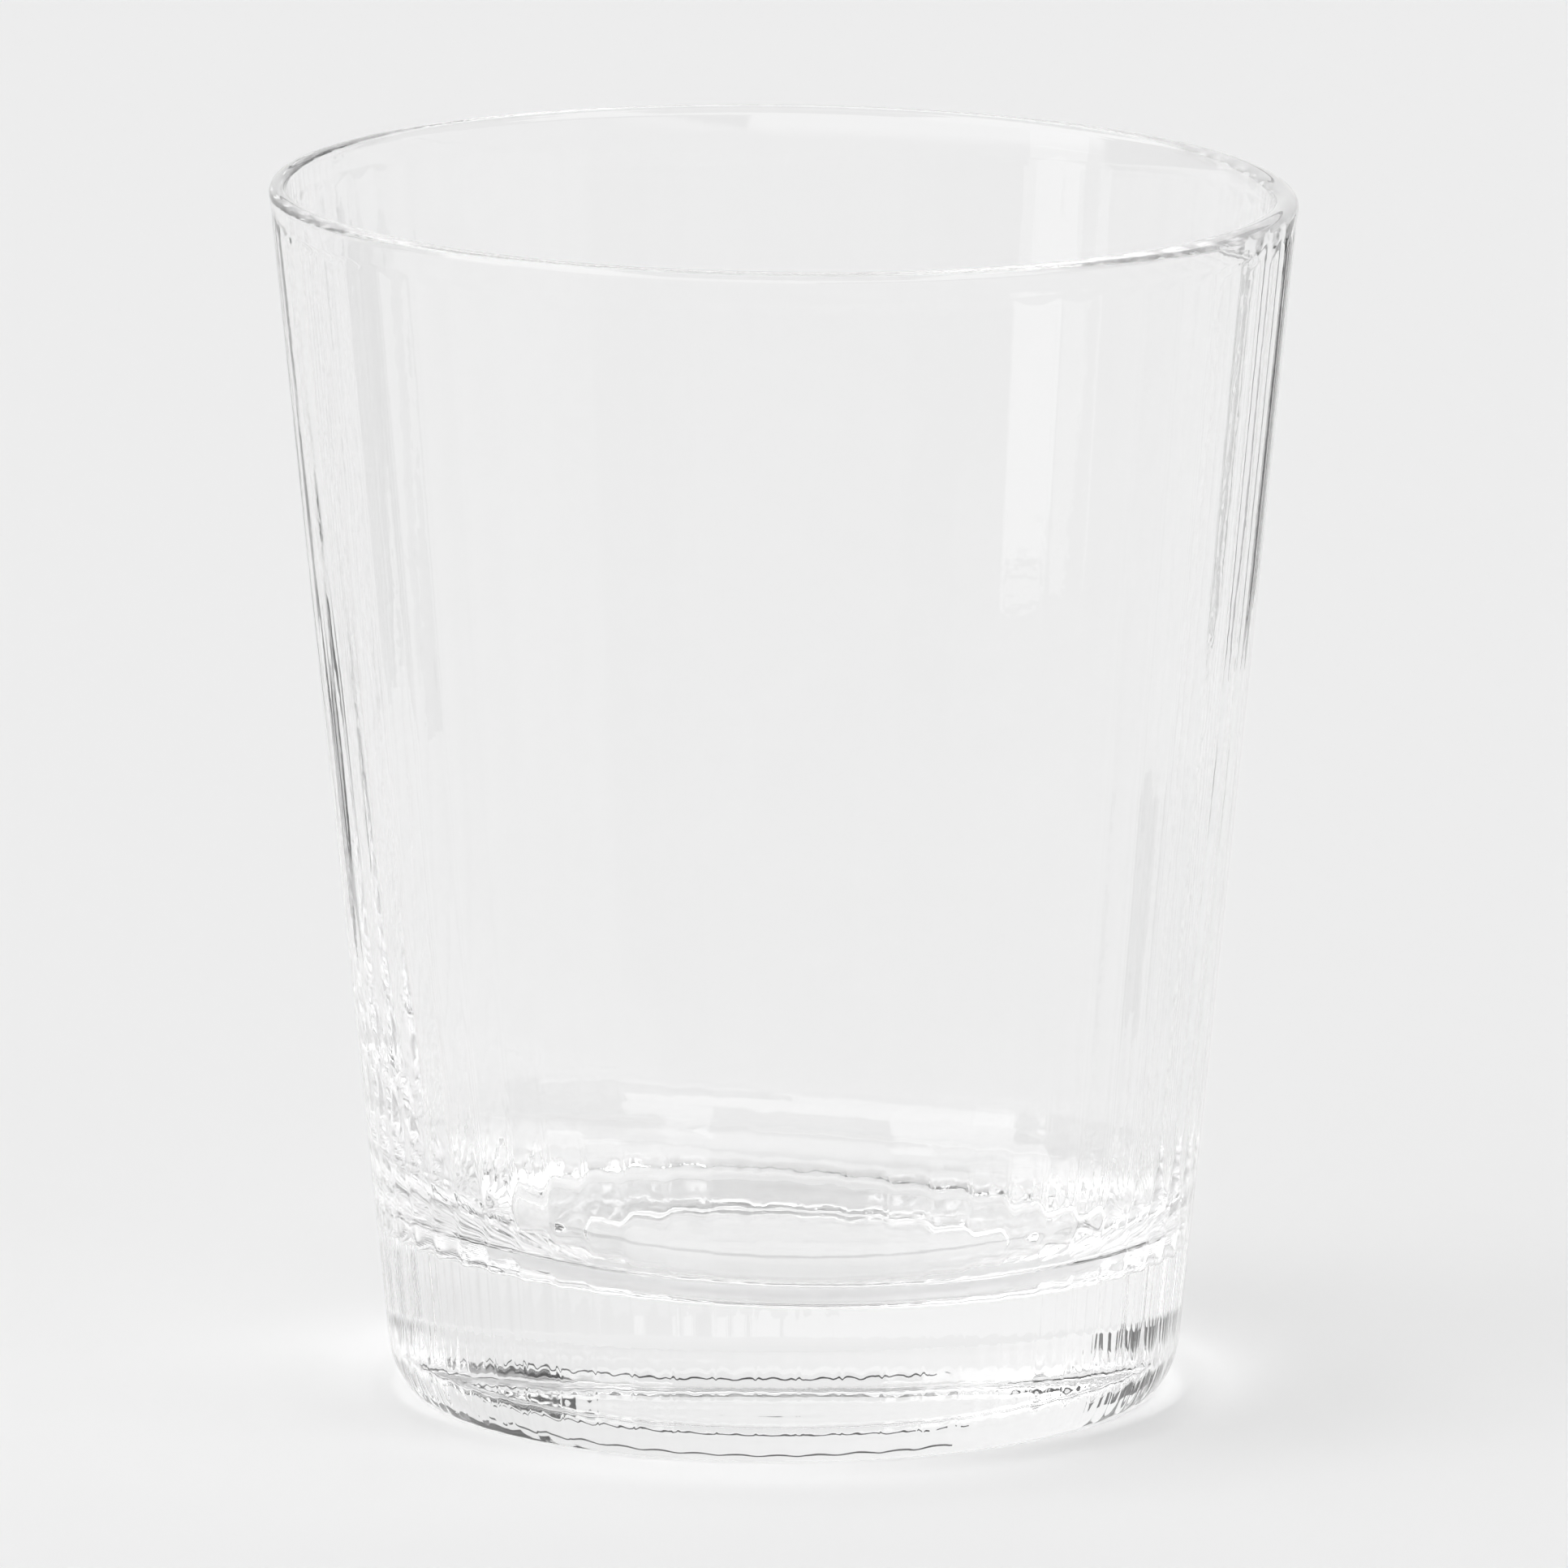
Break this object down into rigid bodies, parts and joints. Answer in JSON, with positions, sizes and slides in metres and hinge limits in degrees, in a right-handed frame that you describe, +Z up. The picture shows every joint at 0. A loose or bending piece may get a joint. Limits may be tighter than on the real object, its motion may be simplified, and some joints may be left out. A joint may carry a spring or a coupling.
{
  "type": "juice glass",
  "caption": "Tapered clear juice glass with fine upright ribs, a smooth rounded rim and a thick, heavy base; holds a cold drink and stands on a table.",
  "frame": {"origin": "on the table, under the middle of the base", "axes": "+Z up along the axis of the glass, -Y towards the viewer of the picture, +X to that viewer's right"},
  "size_m": [0.08, 0.08, 0.095],
  "materials": {
    "clear_glass": "clear soda-lime glass, pressed and fire-polished, glossy all over"
  },
  "bodies": {
    "root": {"base": "clear_glass", "ribbed_wall": "clear_glass", "rim": "clear_glass"}
  },
  "joints": []
}
